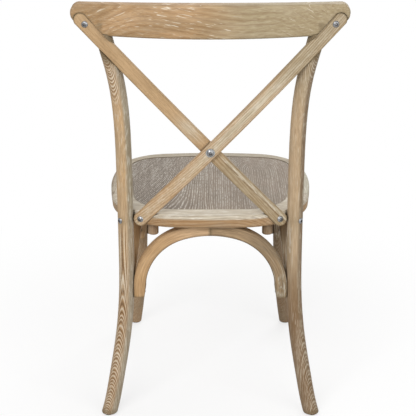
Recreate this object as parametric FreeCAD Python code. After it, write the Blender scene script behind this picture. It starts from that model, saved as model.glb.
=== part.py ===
import FreeCAD, Part
import math
import os

# Cross back dining chair, in millimetres.
# The front of the chair faces -Y, the sitter's left is +X and the floor is Z = 0.
# While it is modelled, Y = 0 is the line that carries the rear legs. At the end the
# whole chair is moved so that the origin is the centre of its base.

# Seat
SEAT_TOP_Z = 450.0
SEAT_THICKNESS = 27.0
SEAT_FRONT_Y = -414.0
SEAT_FRONT_CORNER_X = 198.0
SEAT_FRONT_CORNER_Y = -395.0
SEAT_SIDE_X = 224.0
SEAT_SIDE_Y = -215.0
SEAT_REAR_CORNER_X = 194.0
SEAT_REAR_CORNER_Y = 30.0
SEAT_REAR_Y = 45.0
SEAT_FRONT_RADIUS = 800.0
SEAT_FRONT_CORNER_RADIUS = 119.0
SEAT_SIDE_RADIUS = 500.0
SEAT_REAR_CORNER_RADIUS = 151.0
SEAT_REAR_RADIUS = 700.0
SEAT_EDGE_ROUND = 7.0

# Seat panel, set in a pocket of the frame and carried by a ledge
RIM_FRONT = 26.0
RIM_FRONT_CORNER_X = 8.0
RIM_FRONT_CORNER_Y = 37.0
RIM_REAR_CORNER_X = 39.0
RIM_REAR_CORNER_Y = 34.0
RIM_REAR = 46.0
PANEL_BOW_RADIUS = 700.0
PANEL_FRONT_CORNER_RADIUS = 70.0
PANEL_REAR_CORNER_RADIUS = 95.0
PANEL_THICKNESS = 12.0
PANEL_RECESS = 1.0
PANEL_LEDGE = 32.0

# Joints between the seat rails
FRONT_JOINT_Y = -300.0
REAR_JOINT_Y = -105.0
DOWEL_RADIUS = 4.0
DOWEL_LENGTH = 40.0
DOWEL_SPACING = 17.0

# Rear legs, one bent post each
REAR_LEG_RADIUS = 16.2
REAR_LEG_X = 174.5
REAR_LEG_Y = 7.0
REAR_FOOT_SPLAY = 45.0
REAR_FOOT_KICK = 39.0
REAR_FOOT_BEND_Z = 335.0
CREST_FLARE = 27.5
CREST_FLARE_Z = 590.0
BACK_LEAN = 43.0
BACK_LEAN_Z = 400.0
REAR_TENON_RADIUS = 7.5
REAR_TENON_LENGTH = 30.0

# Front legs, tapered
FRONT_LEG_TOP_RADIUS = 17.8
FRONT_LEG_FOOT_RADIUS = 14.6
FRONT_LEG_X = 165.0
FRONT_LEG_Y = -345.0
FRONT_LEG_LEAN_OUT = 8.5
FRONT_LEG_LEAN_FORWARD = 50.0
FRONT_FOOT_SPLAY = 16.5
FRONT_FOOT_KICK = 25.0
FRONT_FOOT_SPLAY_Z = 245.0
FRONT_FOOT_KICK_Z = 300.0
FRONT_TENON_RADIUS = 10.0
FRONT_TENON_LENGTH = 11.0
FOOT_ROUND = 3.5

# Crest rail, a board bent in plan
CREST_TOP_Z = 885.9
CREST_HEIGHT = 65.7
CREST_TOP_ARCH = 4.9
CREST_BELLY = 1.3
CREST_THICKNESS = 30.0
CREST_HALF_LENGTH = 267.0
CREST_SAGITTA = 38.0
CREST_CENTRE_Y = 74.0
CREST_LEAN_DEG = 4.0
CREST_TOP_CORNER_RADIUS = 18.0
CREST_END_SWEEP = 86.0
CREST_EDGE_ROUND = 6.0

# Cross slats
SLAT_WIDTH = 28.0
SLAT_THICKNESS = 8.3
SLAT_TOP_INSET = 28.3
SLAT_TOP_DROP = 41.9
SLAT_TOP_REACH = 10.7
SLAT_FOOT_X = 140.7
SLAT_FOOT_Z = 437.0
SLAT_SUNK = 2.0
SLAT_LET_IN = 1.2
SLAT_BOW = 22.0
SLAT_EDGE_ROUND = 1.4
HOUSING_GAP = 0.8
CROSS_GAP = 0.7

# Half arches under the seat
ARCH_WIDTH = 26.0
ARCH_DEPTH = 24.0
ARCH_HAUNCH_RADIUS = 112.0
ARCH_CROWN_ANGLE_DEG = 17.5
ARCH_END_Z = 260.5
ARCH_TIP_TAPER = 3.5
ARCH_LET_UP = 0.5
ARCH_EDGE_ROUND = 4.0
REAR_ARCH_Y = 6.6
FRONT_ARCH_Y = -370.0
SIDE_ARCH_LEAN_DEG = 7.0

# Stacking pegs
PEG_RADIUS = 11.0
PEG_LENGTH = 27.0
PEG_X = 118.4
PEG_Y = -4.0
PEG_TENON_RADIUS = 5.0
PEG_TENON_LENGTH = 12.0
PEG_ROUND = 3.0

# Floor glides
GLIDE_RADIUS = 9.0
GLIDE_THICKNESS = 2.5
GLIDE_PIN_RADIUS = 2.0
GLIDE_PIN_LENGTH = 12.0

# Fasteners
SLAT_SCREW_HEAD_RADIUS = 6.5
SLAT_SCREW_HEAD_HEIGHT = 3.2
SLAT_SCREW_RADIUS = 2.5
SLAT_SCREW_IN_WOOD = 20.0
SLAT_SCREW_IN_CREST = 11.0
CROSS_HEAD_RADIUS = 7.5
CROSS_HEAD_HEIGHT = 3.6
CROSS_BOLT_RADIUS = 3.0
WASHER_RADIUS = 9.0
WASHER_THICKNESS = 1.2
CAP_NUT_RADIUS = 5.5
CAP_NUT_HEIGHT = 7.0
LEG_BOLT_HEAD_RADIUS = 6.0
LEG_BOLT_HEAD_HEIGHT = 2.6
LEG_BOLT_RADIUS = 3.0
LEG_BOLT_Z = 432.0
LEG_BOLT_REACH = 30.0
BARREL_NUT_RADIUS = 5.0
BARREL_NUT_INSET = 22.0
BARREL_NUT_LENGTH = 17.0
ARCH_SCREW_HEAD_RADIUS = 4.2
ARCH_SCREW_HEAD_HEIGHT = 2.0
ARCH_SCREW_RADIUS = 2.0
ARCH_SCREW_IN_WOOD = 14.0
ARCH_SEAT_SCREW_OFFSET = 22.0
ARCH_LEG_SCREW_Z = 270.0
SIDE_ARCH_SCREW_Z = 284.0
SCREW_TIP_RADIUS = 0.2
HEX_KEY_RADIUS = 3.4
HEX_KEY_DEPTH = 2.2
KEY_SHARE = 0.52

# Clearances between pieces
FIT_GAP = 0.3
HOLE_GAP = 0.15
END_GAP = 1.0

# Numbers of cross sections in the lofted pieces
LEG_STATIONS = 10
SLAT_STATIONS = 7

SEAT_BOTTOM_Z = SEAT_TOP_Z - SEAT_THICKNESS
CREST_BOTTOM_Z = CREST_TOP_Z - CREST_HEIGHT
CREST_MIDDLE_Z = CREST_TOP_Z - CREST_HEIGHT / 2
LEG_SHOULDER_Z = CREST_BOTTOM_Z + CREST_BELLY
LEG_TOP_Z = CREST_BOTTOM_Z + CREST_EDGE_ROUND
SLAT_TOP_X = CREST_HALF_LENGTH - SLAT_TOP_INSET
SLAT_TOP_Z = CREST_TOP_Z - SLAT_TOP_DROP
CREST_PLAN_RADIUS = (CREST_HALF_LENGTH ** 2 + CREST_SAGITTA ** 2) / (2 * CREST_SAGITTA)
POCKET_FLOOR_Z = SEAT_TOP_Z - PANEL_RECESS - PANEL_THICKNESS
FAR = 2000.0

V = FreeCAD.Vector
X_AXIS = V(1, 0, 0)
Y_AXIS = V(0, 1, 0)
Z_AXIS = V(0, 0, 1)


def bend(z, start, end, reach):
    """Sideways reach at height z of a circular bend that begins at start."""
    run = (z - start) / (end - start)
    if run <= 0:
        return 0.0
    span = abs(end - start)
    radius = (reach ** 2 + span ** 2) / (2 * abs(reach))
    depth = radius - math.sqrt(radius ** 2 - (run * span) ** 2)
    return math.copysign(depth, reach)


def mirrored(shape):
    """The same shape on the other side of the chair."""
    return shape.mirror(V(0, 0, 0), X_AXIS)


def aim(shape, origin, axis):
    """Turn a shape drawn along +Z to the axis and set it at the origin given."""
    placed = shape.copy()
    placed.Placement = FreeCAD.Placement(origin, FreeCAD.Rotation(Z_AXIS, axis))
    return placed


def rod(radius, start, end):
    """A plain cylinder between two points."""
    run = end - start
    return Part.makeCylinder(radius, run.Length, start, run)


def corner_arc(before, corner, after, radius):
    """Start, middle, end and centre of the arc that rounds a corner."""
    towards = (before - corner).normalize()
    onwards = (after - corner).normalize()
    half = towards.getAngle(onwards) / 2
    reach = radius / math.tan(half)
    middle_line = (towards + onwards).normalize()
    centre = corner + middle_line * (radius / math.sin(half))
    start = corner + towards * reach
    end = corner + onwards * reach
    return start, centre - middle_line * radius, end, centre


def rounded_outline(corners, z):
    """A closed wire through corners given as (x, y, radius), each one rounded."""
    points = [V(x, y, z) for x, y, radius in corners]
    count = len(corners)
    arcs = []
    for i in range(count):
        arc = corner_arc(points[i - 1], points[i], points[(i + 1) % count], corners[i][2])
        arcs.append(arc[:3])
    edges = []
    for i in range(count):
        start, middle, end = arcs[i]
        edges.append(Part.Arc(start, middle, end).toShape())
        edges.append(Part.LineSegment(end, arcs[(i + 1) % count][0]).toShape())
    return Part.Wire(edges)


def both_sides(half):
    """Corners of a symmetric outline, from its front middle round to its rear middle."""
    inner = half[1:-1]
    other = [(-x, y, radius) for x, y, radius in reversed(inner)]
    return [half[0]] + inner + [half[-1]] + other


def slab(wire, z, height):
    """A flat-bottomed solid over an outline drawn at height z."""
    return Part.Face(wire).extrude(V(0, 0, height))


def edges_at_height(shape, z):
    """Edges that lie wholly at one height."""
    found = []
    for edge in shape.Edges:
        box = edge.BoundBox
        if abs(box.ZMin - z) < 0.01 and abs(box.ZMax - z) < 0.01:
            found.append(edge)
    return found


SEAT_HALF = [
    (0.0, SEAT_FRONT_Y, SEAT_FRONT_RADIUS),
    (SEAT_FRONT_CORNER_X, SEAT_FRONT_CORNER_Y, SEAT_FRONT_CORNER_RADIUS),
    (SEAT_SIDE_X, SEAT_SIDE_Y, SEAT_SIDE_RADIUS),
    (SEAT_REAR_CORNER_X, SEAT_REAR_CORNER_Y, SEAT_REAR_CORNER_RADIUS),
    (0.0, SEAT_REAR_Y, SEAT_REAR_RADIUS),
]

PANEL_HALF = [
    (0.0, SEAT_FRONT_Y + RIM_FRONT, PANEL_BOW_RADIUS),
    (SEAT_FRONT_CORNER_X - RIM_FRONT_CORNER_X, SEAT_FRONT_CORNER_Y + RIM_FRONT_CORNER_Y,
     PANEL_FRONT_CORNER_RADIUS),
    (SEAT_REAR_CORNER_X - RIM_REAR_CORNER_X, SEAT_REAR_CORNER_Y - RIM_REAR_CORNER_Y,
     PANEL_REAR_CORNER_RADIUS),
    (0.0, SEAT_REAR_Y - RIM_REAR, PANEL_BOW_RADIUS),
]


def rear_corner_centre():
    """Centre of the arc that rounds the seat's rear corner on the +X side."""
    side, corner, rear = [V(x, y, 0) for x, y, radius in SEAT_HALF[2:]]
    return corner_arc(side, corner, rear, SEAT_REAR_CORNER_RADIUS)[3]


def seat_ring():
    """The whole seat frame before it is cut into rails."""
    outer = slab(rounded_outline(both_sides(SEAT_HALF), SEAT_BOTTOM_Z), SEAT_BOTTOM_Z,
                 SEAT_THICKNESS)
    outer = outer.makeFillet(SEAT_EDGE_ROUND, edges_at_height(outer, SEAT_TOP_Z)
                             + edges_at_height(outer, SEAT_BOTTOM_Z))
    pocket_wire = rounded_outline(both_sides(PANEL_HALF), POCKET_FLOOR_Z)
    pocket = slab(pocket_wire, POCKET_FLOOR_Z, SEAT_THICKNESS)
    opening_wire = rounded_outline(both_sides(PANEL_HALF), SEAT_BOTTOM_Z - END_GAP)
    opening_face = Part.Face(opening_wire).makeOffset2D(-PANEL_LEDGE)
    opening = opening_face.extrude(V(0, 0, SEAT_THICKNESS))
    return outer.cut(pocket).cut(opening)


def seat_panel():
    """The veneered board in the frame's pocket."""
    wire = rounded_outline(both_sides(PANEL_HALF), POCKET_FLOOR_Z)
    face = Part.Face(wire).makeOffset2D(-FIT_GAP)
    return face.extrude(V(0, 0, PANEL_THICKNESS))


def half_space(axis, offset, beyond):
    """A large box on one side of a plane square to X, Y or Z."""
    box = Part.makeBox(FAR, FAR, FAR, V(-FAR / 2, -FAR / 2, -FAR / 2))
    shift = offset + FAR / 2 if beyond else offset - FAR / 2
    box.translate(axis * shift)
    return box


def rear_leg_point(z):
    """Centre line of the rear leg on the +X side."""
    x = REAR_LEG_X
    x += bend(z, REAR_FOOT_BEND_Z, 0.0, REAR_FOOT_SPLAY)
    x += bend(z, CREST_FLARE_Z, CREST_BOTTOM_Z, CREST_FLARE)
    y = REAR_LEG_Y
    y += bend(z, REAR_FOOT_BEND_Z, 0.0, REAR_FOOT_KICK)
    y += bend(z, BACK_LEAN_Z, CREST_BOTTOM_Z, BACK_LEAN)
    return V(x, y, z)


def front_leg_point(z):
    """Centre line of the front leg on the +X side."""
    drop = (SEAT_BOTTOM_Z - z) / SEAT_BOTTOM_Z
    x = FRONT_LEG_X + FRONT_LEG_LEAN_OUT * drop
    x += bend(z, FRONT_FOOT_SPLAY_Z, 0.0, FRONT_FOOT_SPLAY)
    y = FRONT_LEG_Y - FRONT_LEG_LEAN_FORWARD * drop
    y -= bend(z, FRONT_FOOT_KICK_Z, 0.0, FRONT_FOOT_KICK)
    return V(x, y, z)


def direction(point_at, z):
    """Upward direction of a leg's centre line."""
    step = 0.5
    return (point_at(z + step) - point_at(z - step)).normalize()


def round_section(centre, axis, radius):
    """A circle square to the axis, with its seam on the +X side."""
    side = X_AXIS - axis * X_AXIS.dot(axis)
    turn = FreeCAD.Rotation(side, axis.cross(side), axis, "ZXY")
    ring = Part.Wire([Part.Circle(V(0, 0, 0), Z_AXIS, radius).toShape()])
    ring.Placement = FreeCAD.Placement(centre, turn)
    return ring


def round_bar(point_at, low, high, radius_at):
    """A bent bar between two heights, lofted through circles."""
    rings = []
    for i in range(LEG_STATIONS):
        z = low + (high - low) * i / (LEG_STATIONS - 1)
        rings.append(round_section(point_at(z), direction(point_at, z), radius_at(z)))
    return Part.makeLoft(rings, True, False)


def front_leg_radius(z):
    share = z / SEAT_BOTTOM_Z
    return FRONT_LEG_FOOT_RADIUS + (FRONT_LEG_TOP_RADIUS - FRONT_LEG_FOOT_RADIUS) * share


def rear_leg_bar(radius):
    """The whole bent post on the +X side, longer than the leg at both ends."""
    return round_bar(rear_leg_point, -REAR_LEG_RADIUS, LEG_TOP_Z + REAR_LEG_RADIUS,
                     lambda z: radius)


def foot_cut(leg):
    """Cut a leg level above its glide and round the edge of the foot."""
    cut = leg.cut(half_space(Z_AXIS, GLIDE_THICKNESS, False))
    return cut.makeFillet(FOOT_ROUND, edges_at_height(cut, GLIDE_THICKNESS))


def crest_y(x, z):
    """Middle surface of the crest rail."""
    plan = CREST_PLAN_RADIUS - math.sqrt(CREST_PLAN_RADIUS ** 2 - x ** 2)
    lean = (z - CREST_MIDDLE_Z) * math.tan(math.radians(CREST_LEAN_DEG))
    return CREST_CENTRE_Y - plan + lean


def crest_strip():
    """A tall upright strip bent to the crest's plan, before it leans."""
    centre = V(0, CREST_CENTRE_Y - CREST_PLAN_RADIUS, 0)
    outer = Part.makeCylinder(CREST_PLAN_RADIUS + CREST_THICKNESS / 2, FAR, centre)
    inner = Part.makeCylinder(CREST_PLAN_RADIUS - CREST_THICKNESS / 2, FAR, centre)
    return outer.cut(inner).common(half_space(Y_AXIS, 0.0, True))


def leaned(shape):
    """The shape tipped back as the crest rail is."""
    tipped = shape.copy()
    tipped.rotate(V(0, CREST_CENTRE_Y, CREST_MIDDLE_Z), X_AXIS, -CREST_LEAN_DEG)
    return tipped


def crest_board():
    """The bent board with its round ends, before anything is let into it."""
    top_z = CREST_TOP_Z - CREST_TOP_ARCH
    side_z = top_z - CREST_TOP_CORNER_RADIUS
    low_x = CREST_HALF_LENGTH - CREST_END_SWEEP
    low_z = CREST_BOTTOM_Z + CREST_BELLY
    top_x = CREST_HALF_LENGTH - CREST_TOP_CORNER_RADIUS
    rise = side_z - low_z
    y = CREST_CENTRE_Y - FAR / 4

    def end_point(angle):
        return V(low_x + CREST_END_SWEEP * math.cos(angle), y, side_z + rise * math.sin(angle))

    sweep = Part.BSplineCurve()
    quarter = [end_point(-math.pi / 2 * (1 - i / 4)) for i in range(5)]
    sweep.interpolate(Points=quarter, InitialTangent=X_AXIS, FinalTangent=Z_AXIS)
    shoulder = Part.Arc(
        V(CREST_HALF_LENGTH, y, side_z),
        V(top_x + CREST_TOP_CORNER_RADIUS * math.sqrt(0.5), y,
          side_z + CREST_TOP_CORNER_RADIUS * math.sqrt(0.5)),
        V(top_x, y, top_z))
    right = [sweep.toShape(), shoulder.toShape()]
    left = [mirrored(edge) for edge in right]
    bottom = Part.Arc(V(-low_x, y, low_z), V(0, y, CREST_BOTTOM_Z), V(low_x, y, low_z))
    top = Part.Arc(V(-top_x, y, top_z), V(0, y, CREST_TOP_Z), V(top_x, y, top_z))
    outline = Part.Wire(Part.__sortEdges__(right + left + [bottom.toShape(), top.toShape()]))
    blank = Part.Face(outline).extrude(V(0, FAR / 2, 0))
    board = blank.common(crest_strip()).Solids[0]
    rims = [edge for edge in board.Edges if edge.BoundBox.YLength < CREST_THICKNESS / 2
            or edge.BoundBox.XLength > CREST_THICKNESS]
    return leaned(board.makeFillet(CREST_EDGE_ROUND, rims))


def slat_foot():
    """Middle of a slat's foot on the +X side, and its turn about the vertical."""
    corner = rear_corner_centre()
    outward = V(SLAT_FOOT_X - corner.x, 0, 0)
    outward.y = math.sqrt(SEAT_REAR_CORNER_RADIUS ** 2 - outward.x ** 2)
    foot = corner + outward + outward.normalize() * (SLAT_THICKNESS / 2 - SLAT_LET_IN)
    foot.z = SLAT_FOOT_Z
    return foot, math.atan2(outward.x, outward.y)


def slat_frame(outer, share):
    """Centre, length, width and outward directions of a slat at a share of its length.

    The outer slat climbs from the +X side of the seat to the -X side of the crest.
    """
    side = 1.0 if outer else -1.0
    foot, foot_turn = slat_foot()
    foot.x *= side
    foot_turn *= side
    top_turn = -side * math.asin(SLAT_TOP_X / CREST_PLAN_RADIUS)
    top_depth = CREST_THICKNESS / 2 - SLAT_SUNK - SLAT_THICKNESS / 2
    top = V(-side * SLAT_TOP_X, 0, SLAT_TOP_Z)
    top.y = crest_y(SLAT_TOP_X, SLAT_TOP_Z) + top_depth
    bow = SLAT_BOW if outer else SLAT_BOW - (SLAT_THICKNESS + CROSS_GAP) / cross_bulge()
    centre = foot * (1 - share) + top * share
    centre.y += bow * 4 * share * (1 - share)
    along = top - foot
    along.y += bow * 4 * (1 - 2 * share)
    along.normalize()
    meet = cross_share()
    turn = foot_turn * (1 - share) * (meet - share) / meet
    turn += top_turn * share * (share - meet) / (1 - meet)
    outward = V(math.sin(turn), math.cos(turn), -along.y / along.z)
    outward = (outward - along * outward.dot(along)).normalize()
    return centre, along, along.cross(outward).normalize(), outward


def cross_share():
    """Share of the slats' length, from the seat, at which they cross."""
    foot_x = slat_foot()[0].x
    return foot_x / (foot_x + SLAT_TOP_X)


def cross_bulge():
    """Share of the bow that is left at the crossing."""
    return 4 * cross_share() * (1 - cross_share())


def slat_section(frame, width, inner, outer, ease):
    """A rectangle with eased corners across a slat, from inner to outer."""
    centre, along, wide, outward = frame
    edges = []
    last = None
    first = None
    for side_a, side_b, flip in ((-1, -1, 0), (1, -1, 1), (1, 1, 0), (-1, 1, 1)):
        corner = centre + wide * (side_a * width / 2) + outward * (outer if side_b > 0 else -inner)
        on_face = corner - wide * (side_a * ease)
        on_side = corner - outward * (side_b * ease)
        middle = corner - (wide * side_a + outward * side_b) * (ease * (1 - math.sqrt(0.5)))
        start, end = (on_side, on_face) if flip == 0 else (on_face, on_side)
        if last is not None:
            edges.append(Part.LineSegment(last, start).toShape())
        else:
            first = start
        edges.append(Part.Arc(start, middle, end).toShape())
        last = end
    edges.append(Part.LineSegment(last, first).toShape())
    return Part.Wire(edges)


def slat_bar(outer, grow, open_behind):
    """A slat with round ends, grown all round to make the housings it lies in."""
    half = SLAT_THICKNESS / 2 + grow
    width = SLAT_WIDTH + 2 * grow
    length = (slat_frame(outer, 1)[0] - slat_frame(outer, 0)[0]).Length
    extra = (width / 2 + SLAT_TOP_REACH + END_GAP) / length
    sections = []
    for i in range(SLAT_STATIONS):
        share = -extra + (1 + 2 * extra) * i / (SLAT_STATIONS - 1)
        sections.append(slat_section(slat_frame(outer, share), width, half, half + open_behind,
                                     SLAT_EDGE_ROUND))
    bar = Part.makeLoft(sections, True, False)
    for share, way in ((0, -1), (1 + SLAT_TOP_REACH / length, 1)):
        centre, along, wide, outward = slat_frame(outer, share)
        reach = SLAT_WIDTH * 4
        block = Part.makeBox(reach, reach, reach, V(-reach / 2, -reach / 2, 0))
        block = aim(block, centre, along * way)
        drum = rod(width / 2 + FIT_GAP, centre - outward * reach, centre + outward * reach)
        bar = bar.cut(block.cut(drum))
    return bar


def arch_outline(span, crown_z, end_z):
    """Wire of a half arch in the X-Z plane, from x = 0 out to the leg at x = span."""
    angle = math.radians(ARCH_CROWN_ANGLE_DEG)
    haunch = ARCH_HAUNCH_RADIUS
    inner_half = span - ARCH_WIDTH
    crown = (inner_half - haunch * (1 - math.sin(angle))) / math.sin(angle)
    crown_centre = V(0, 0, crown_z - crown)
    haunch_centre = crown_centre + V(math.sin(angle), 0, math.cos(angle)) * (crown - haunch)

    def on_arc(centre, radius, turn):
        return centre + V(math.sin(turn), 0, math.cos(turn)) * radius

    quarter = math.pi / 2
    sides = []
    for grow in (0.0, ARCH_WIDTH):
        top = on_arc(crown_centre, crown + grow, 0)
        knee = on_arc(crown_centre, crown + grow, angle)
        hip = on_arc(haunch_centre, haunch + grow, quarter)
        end = V(hip.x + (0.0 if grow else ARCH_TIP_TAPER), 0, end_z)
        crown_arc = Part.Arc(top, on_arc(crown_centre, crown + grow, angle / 2), knee)
        haunch_middle = on_arc(haunch_centre, haunch + grow, (angle + quarter) / 2)
        haunch_arc = Part.Arc(knee, haunch_middle, hip)
        edges = [crown_arc.toShape(), haunch_arc.toShape(), Part.LineSegment(hip, end).toShape()]
        sides.append((top, end, edges))
    caps = [
        Part.LineSegment(sides[0][0], sides[1][0]).toShape(),
        Part.LineSegment(sides[0][1], sides[1][1]).toShape(),
    ]
    return Part.Wire(Part.__sortEdges__(sides[0][2] + sides[1][2] + caps))


def half_arch(span, let_up):
    """A half arch from x = 0 to x = span, centred on Y = 0 and still round on top."""
    crown_z = SEAT_BOTTOM_Z + let_up - ARCH_WIDTH
    face = Part.Face(arch_outline(span, crown_z, ARCH_END_Z))
    band = face.extrude(V(0, ARCH_DEPTH, 0))
    band.translate(V(0, -ARCH_DEPTH / 2, 0))
    long_edges = [edge for edge in band.Edges if edge.BoundBox.YLength < 0.01]
    long_edges = [edge for edge in long_edges if edge.BoundBox.ZLength > FIT_GAP
                  and edge.BoundBox.XMax > FIT_GAP]
    return band.makeFillet(ARCH_EDGE_ROUND, long_edges)


def button_head(radius, height, key_radius):
    """A domed head on the plane Z = 0 with a hexagonal key recess."""
    dome_radius = (radius ** 2 + height ** 2) / (2 * height)
    ball = Part.makeSphere(dome_radius, V(0, 0, height - dome_radius))
    head = ball.common(Part.makeCylinder(radius, height * 2))
    corners = []
    for i in range(7):
        angle = math.radians(60 * i)
        corners.append(V(key_radius * math.cos(angle), key_radius * math.sin(angle), height))
    key = Part.Face(Part.makePolygon(corners)).extrude(V(0, 0, -HEX_KEY_DEPTH))
    return head.cut(key)


def screw(head_radius, head_height, radius, length):
    """A button head screw that points down from Z = 0, with a short cone tip."""
    shank = Part.makeCylinder(radius, length - radius, V(0, 0, -(length - radius)))
    tip = Part.makeCone(SCREW_TIP_RADIUS, radius, radius, V(0, 0, -length))
    head = button_head(head_radius, head_height, head_radius * KEY_SHARE)
    return head.fuse(shank).fuse(tip).removeSplitter()


def screw_hole(origin, axis, radius, length):
    """The hole for a screw whose head stands at the origin and points out along axis."""
    return rod(radius + HOLE_GAP, origin + axis * END_GAP, origin - axis * (length + END_GAP))


class Chair:
    """Pieces by name, each a list of separate solids."""

    def __init__(self):
        self.pieces = {}

    def add(self, name, *solids):
        self.pieces.setdefault(name, []).extend(solids)

    def drill(self, tool, *names):
        for name in names:
            self.pieces[name] = [solid.cut(tool) for solid in self.pieces[name]]

    def pair(self, name, solid):
        """A piece on the +X side and its twin on the -X side."""
        self.add(name + "_left", solid)
        self.add(name + "_right", mirrored(solid))

    def both(self, name, solid):
        """A small piece on each side, kept under one name."""
        self.add(name, solid, mirrored(solid))


def make_legs(chair):
    """Rear and front legs with their tenons and glides."""
    post = foot_cut(rear_leg_bar(REAR_LEG_RADIUS))
    above = half_space(Z_AXIS, LEG_SHOULDER_Z, True)
    housed = post.common(above).cut(half_space(Z_AXIS, LEG_TOP_Z, True))
    housed = housed.common(leaned(crest_strip()))
    shoulder = rear_leg_point(CREST_BOTTOM_Z)
    axis = direction(rear_leg_point, CREST_BOTTOM_Z - 1)
    tenon = rod(REAR_TENON_RADIUS, shoulder - axis * END_GAP, shoulder + axis * REAR_TENON_LENGTH)
    chair.pair("rear_leg", post.cut(above).fuse(housed).fuse(tenon))

    leg = round_bar(front_leg_point, -FRONT_LEG_FOOT_RADIUS,
                    SEAT_BOTTOM_Z + FRONT_LEG_TOP_RADIUS, front_leg_radius)
    leg = foot_cut(leg.cut(half_space(Z_AXIS, SEAT_BOTTOM_Z, True)))
    top = front_leg_point(SEAT_BOTTOM_Z)
    pin = rod(FRONT_TENON_RADIUS, top - Z_AXIS * END_GAP, top + Z_AXIS * FRONT_TENON_LENGTH)
    chair.pair("front_leg", leg.fuse(pin))

    for point_at, name in ((rear_leg_point, "rear_leg"), (front_leg_point, "front_leg")):
        foot = point_at(GLIDE_THICKNESS)
        disc = Part.makeCylinder(GLIDE_RADIUS, GLIDE_THICKNESS, V(foot.x, foot.y, 0))
        disc = disc.makeFillet(GLIDE_THICKNESS / 2, edges_at_height(disc, 0))
        pin = rod(GLIDE_PIN_RADIUS, V(foot.x, foot.y, GLIDE_THICKNESS / 2),
                  foot + Z_AXIS * GLIDE_PIN_LENGTH)
        chair.both("foot_glides", disc.fuse(pin))
        hole = rod(GLIDE_PIN_RADIUS + HOLE_GAP, V(foot.x, foot.y, 0),
                   foot + Z_AXIS * (GLIDE_PIN_LENGTH + END_GAP))
        chair.drill(hole, name + "_left")
        chair.drill(mirrored(hole), name + "_right")


def make_seat(chair):
    """Seat rails with their dowels, and the panel."""
    ring = seat_ring()
    post = round_bar(rear_leg_point, SEAT_BOTTOM_Z - SEAT_THICKNESS, SEAT_TOP_Z + SEAT_THICKNESS,
                     lambda z: REAR_LEG_RADIUS + FIT_GAP)
    tenon_top = front_leg_point(SEAT_BOTTOM_Z)
    tenon = rod(FRONT_TENON_RADIUS + HOLE_GAP, tenon_top - Z_AXIS * END_GAP,
                tenon_top + Z_AXIS * (FRONT_TENON_LENGTH + END_GAP / 2))
    for tool in (post, tenon):
        ring = ring.cut(tool).cut(mirrored(tool))
    for outer in (True, False):
        ring = ring.cut(slat_bar(outer, FIT_GAP / 2, SLAT_WIDTH))

    before_front = half_space(Y_AXIS, FRONT_JOINT_Y, False)
    behind_rear = half_space(Y_AXIS, REAR_JOINT_Y, True)
    left = half_space(X_AXIS, 0.0, True)
    middle = ring.cut(before_front).cut(behind_rear)
    chair.add("seat_rail_front", ring.common(before_front))
    chair.add("seat_rail_rear", ring.common(behind_rear))
    chair.add("seat_rail_left", middle.common(left))
    chair.add("seat_rail_right", middle.cut(left))

    for joint_y, rail in ((FRONT_JOINT_Y, "seat_rail_front"), (REAR_JOINT_Y, "seat_rail_rear")):
        inner_x, outer_x = rim_at(joint_y)
        for way in (-0.5, 0.5):
            x = (inner_x + outer_x) / 2 + way * DOWEL_SPACING
            z = (SEAT_BOTTOM_Z + POCKET_FLOOR_Z) / 2
            centre = V(x, joint_y, z)
            end = Y_AXIS * (DOWEL_LENGTH / 2)
            hole_end = Y_AXIS * (DOWEL_LENGTH / 2 + END_GAP)
            chair.both("seat_dowels", rod(DOWEL_RADIUS, centre - end, centre + end))
            hole = rod(DOWEL_RADIUS + HOLE_GAP, centre - hole_end, centre + hole_end)
            chair.drill(hole, rail, "seat_rail_left")
            chair.drill(mirrored(hole), rail, "seat_rail_right")
    chair.add("seat_panel", seat_panel())


def rim_at(y):
    """Inner and outer half widths of the ring at one place along Y."""
    line = Part.makeLine(V(0, y, SEAT_TOP_Z), V(FAR, y, SEAT_TOP_Z))
    found = []
    for half in (PANEL_HALF, SEAT_HALF):
        face = Part.Face(rounded_outline(both_sides(half), SEAT_TOP_Z))
        found.append(face.common(line).BoundBox.XMax)
    return found[0] - PANEL_LEDGE, found[1]


def make_back(chair):
    """Crest rail and cross slats, with the housings that the slats lie in."""
    crest = crest_board()
    for outer in (True, False):
        housing = slat_bar(outer, HOUSING_GAP, SLAT_WIDTH)
        crest = crest.cut(housing)
        chair.drill(slat_bar(outer, FIT_GAP, SLAT_WIDTH), "rear_leg_left", "rear_leg_right")
    shoulder = rear_leg_point(CREST_BOTTOM_Z)
    axis = direction(rear_leg_point, CREST_BOTTOM_Z - 1)
    mortise = rod(REAR_TENON_RADIUS + HOLE_GAP, shoulder - axis * REAR_TENON_LENGTH,
                  shoulder + axis * (REAR_TENON_LENGTH + END_GAP))
    notch = rear_leg_bar(REAR_LEG_RADIUS + FIT_GAP)
    notch = notch.cut(half_space(Z_AXIS, LEG_TOP_Z + FIT_GAP, True))
    for tool in (mortise, notch):
        crest = crest.cut(tool).cut(mirrored(tool))
    chair.add("crest_rail", crest)
    chair.add("cross_slat_outer", slat_bar(True, 0.0, 0.0))
    chair.add("cross_slat_inner", slat_bar(False, 0.0, 0.0))


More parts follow.
